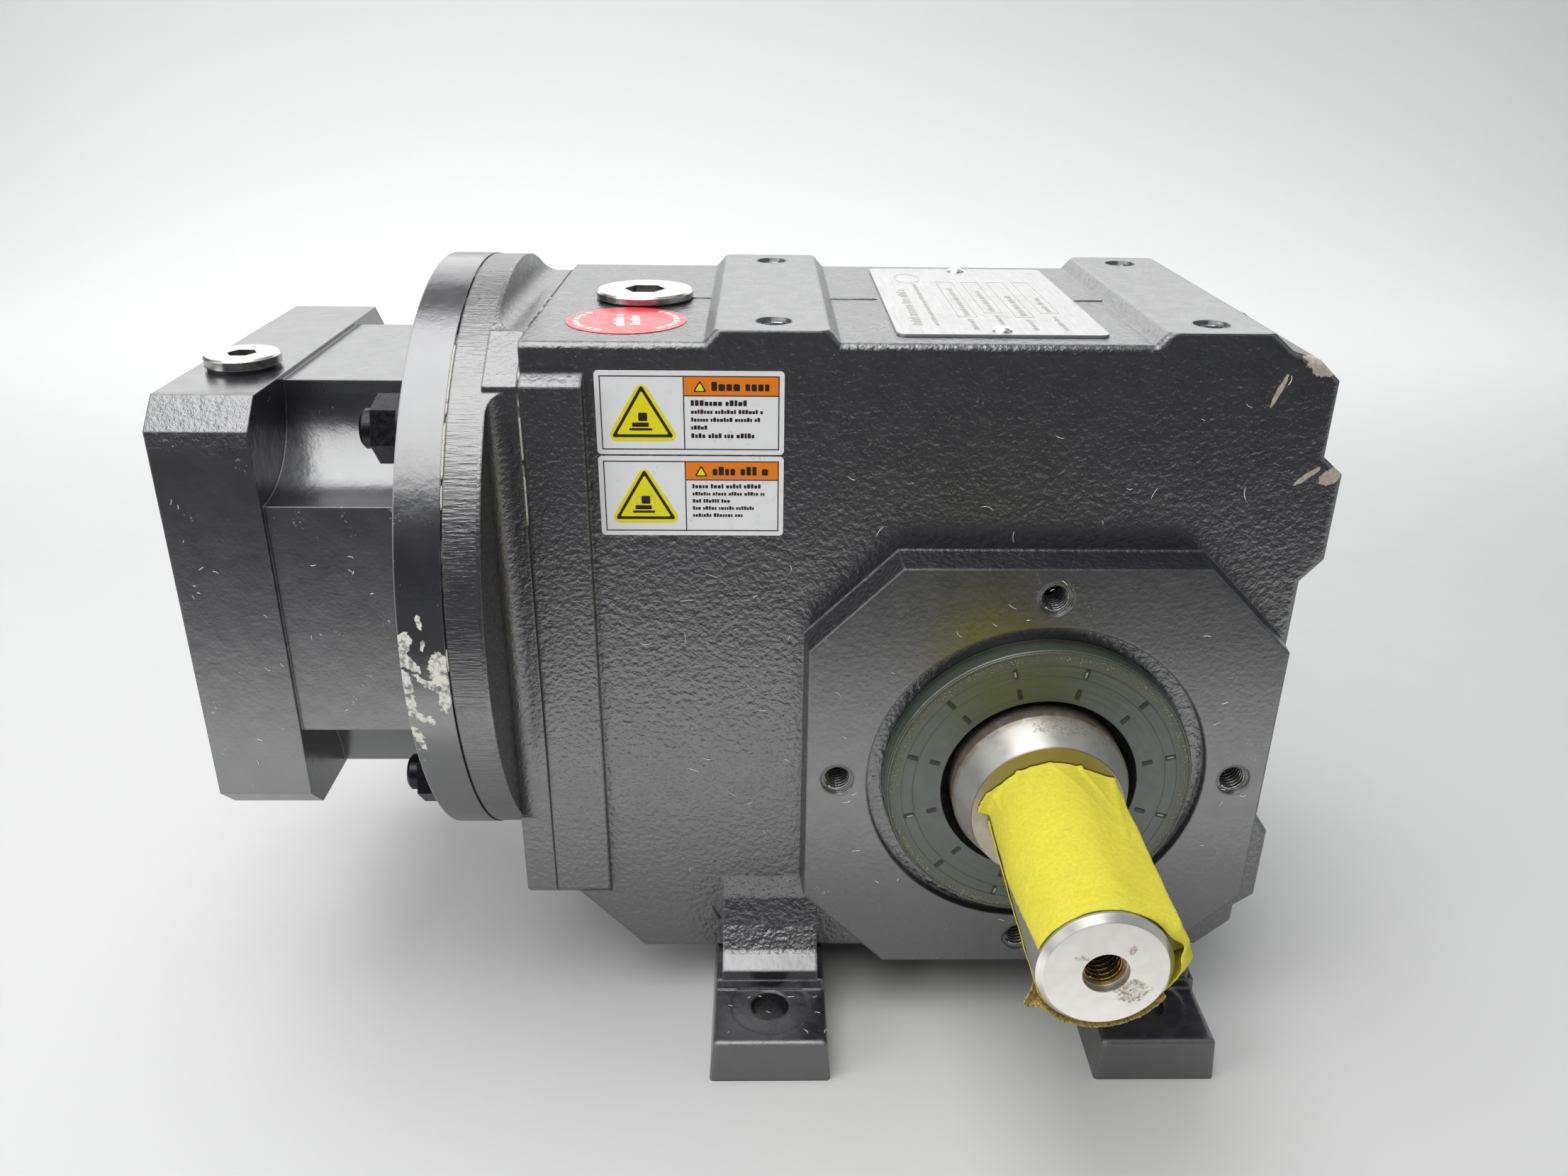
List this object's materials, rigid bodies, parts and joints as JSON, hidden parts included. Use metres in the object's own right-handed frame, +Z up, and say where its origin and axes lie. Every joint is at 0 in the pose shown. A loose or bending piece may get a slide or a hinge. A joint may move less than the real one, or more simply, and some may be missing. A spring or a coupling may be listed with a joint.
{
  "type": "right-angle helical-bevel gear reducer",
  "caption": "Black foot-mounted right-angle gear reducer with a square motor adapter, an octagonal output pad and a solid keyed output shaft.",
  "frame": {"origin": "middle of the four foot holes, on the mounting plane", "axes": "+X along the input axis from the motor towards the case, -Y out of the output shaft, +Z up from the feet"},
  "size_m": [0.3545, 0.2725, 0.2533],
  "materials": {
    "black_paint": "semi-gloss black paint over cast iron",
    "gasket_sheet": "thin pale gasket sheet",
    "ground_steel": "ground steel with light staining",
    "green_rubber": "dark green-black moulded rubber",
    "black_rubber": "black sealing ring",
    "plated_steel": "bright plated steel",
    "black_steel": "blackened steel",
    "nameplate_aluminium": "satin metal plate",
    "label_film": "white label film",
    "red_film": "red sticker film",
    "bearing_steel": "polished bearing steel",
    "gear_steel": "machined gear steel"
  },
  "bodies": {
    "housing": {"access_plug": "plated_steel", "access_plug_seal": "black_rubber", "adapter_gasket": "gasket_sheet", "adapter_nuts": "black_steel", "adapter_studs": "black_steel", "adapter_washers": "black_steel", "case_gasket": "gasket_sheet", "cover_screws": "black_steel", "drain_plug": "plated_steel", "drain_plug_seal": "black_rubber", "far_cap_circlip": "black_steel", "far_end_cap": "green_rubber", "filler_plug": "plated_steel", "filler_plug_seal": "black_rubber", "foot_screws": "black_steel", "gear_case": "black_paint", "input_adapter_bearing_outer_ring": "bearing_steel", "input_cover_bearing_outer_ring": "bearing_steel", "input_oil_seal": "green_rubber", "intermediate_cover": "black_paint", "left_foot_bar": "black_paint", "lower_label": "label_film", "motor_adapter": "black_paint", "nameplate": "nameplate_aluminium", "nameplate_rivets": "nameplate_aluminium", "output_far_bearing_outer_ring": "bearing_steel", "output_near_bearing_outer_ring": "bearing_steel", "output_shaft_seal": "green_rubber", "pinion_front_bearing_outer_ring": "bearing_steel", "pinion_rear_bearing_outer_ring": "bearing_steel", "right_foot_bar": "black_paint", "round_sticker": "red_film", "upper_label": "label_film"},
    "output": {"output_shaft": "ground_steel", "crown_gear": "gear_steel", "crown_gear_key": "gear_steel", "output_spacer": "gear_steel", "output_near_bearing_inner_ring": "bearing_steel", "output_near_bearing_rollers": "bearing_steel", "output_far_bearing_inner_ring": "bearing_steel", "output_far_bearing_rollers": "bearing_steel"},
    "pinion": {"bevel_pinion_shaft": "gear_steel", "first_stage_wheel": "gear_steel", "first_stage_wheel_key": "gear_steel", "pinion_spacer": "gear_steel", "pinion_lock_nut": "gear_steel", "pinion_rear_bearing_inner_ring": "bearing_steel", "pinion_rear_bearing_rollers": "bearing_steel", "pinion_front_bearing_inner_ring": "bearing_steel", "pinion_front_bearing_rollers": "bearing_steel"},
    "input": {"input_pinion_shaft": "gear_steel", "clamp_ring": "gear_steel", "clamp_screw": "black_steel", "input_cover_bearing_inner_ring": "bearing_steel", "input_cover_bearing_rollers": "bearing_steel", "input_adapter_bearing_inner_ring": "bearing_steel", "input_adapter_bearing_rollers": "bearing_steel"}
  },
  "joints": [
    {"name": "output_spin", "type": "hinge", "parent": "housing", "child": "output", "pos_m": [0.0215, 0, 0.1], "axis": [0, 1, 0], "continuous": true},
    {"name": "pinion_spin", "type": "hinge", "parent": "housing", "child": "pinion", "pos_m": [0, 0, 0.1], "axis": [1, 0, 0], "continuous": true},
    {"name": "input_spin", "type": "hinge", "parent": "housing", "child": "input", "pos_m": [0, 0, 0.153], "axis": [1, 0, 0], "continuous": true}
  ],
  "couplings": [
    {"joint": "pinion_spin", "follows": "output_spin", "ratio": 2.8182},
    {"joint": "input_spin", "follows": "output_spin", "ratio": -5.9679}
  ]
}
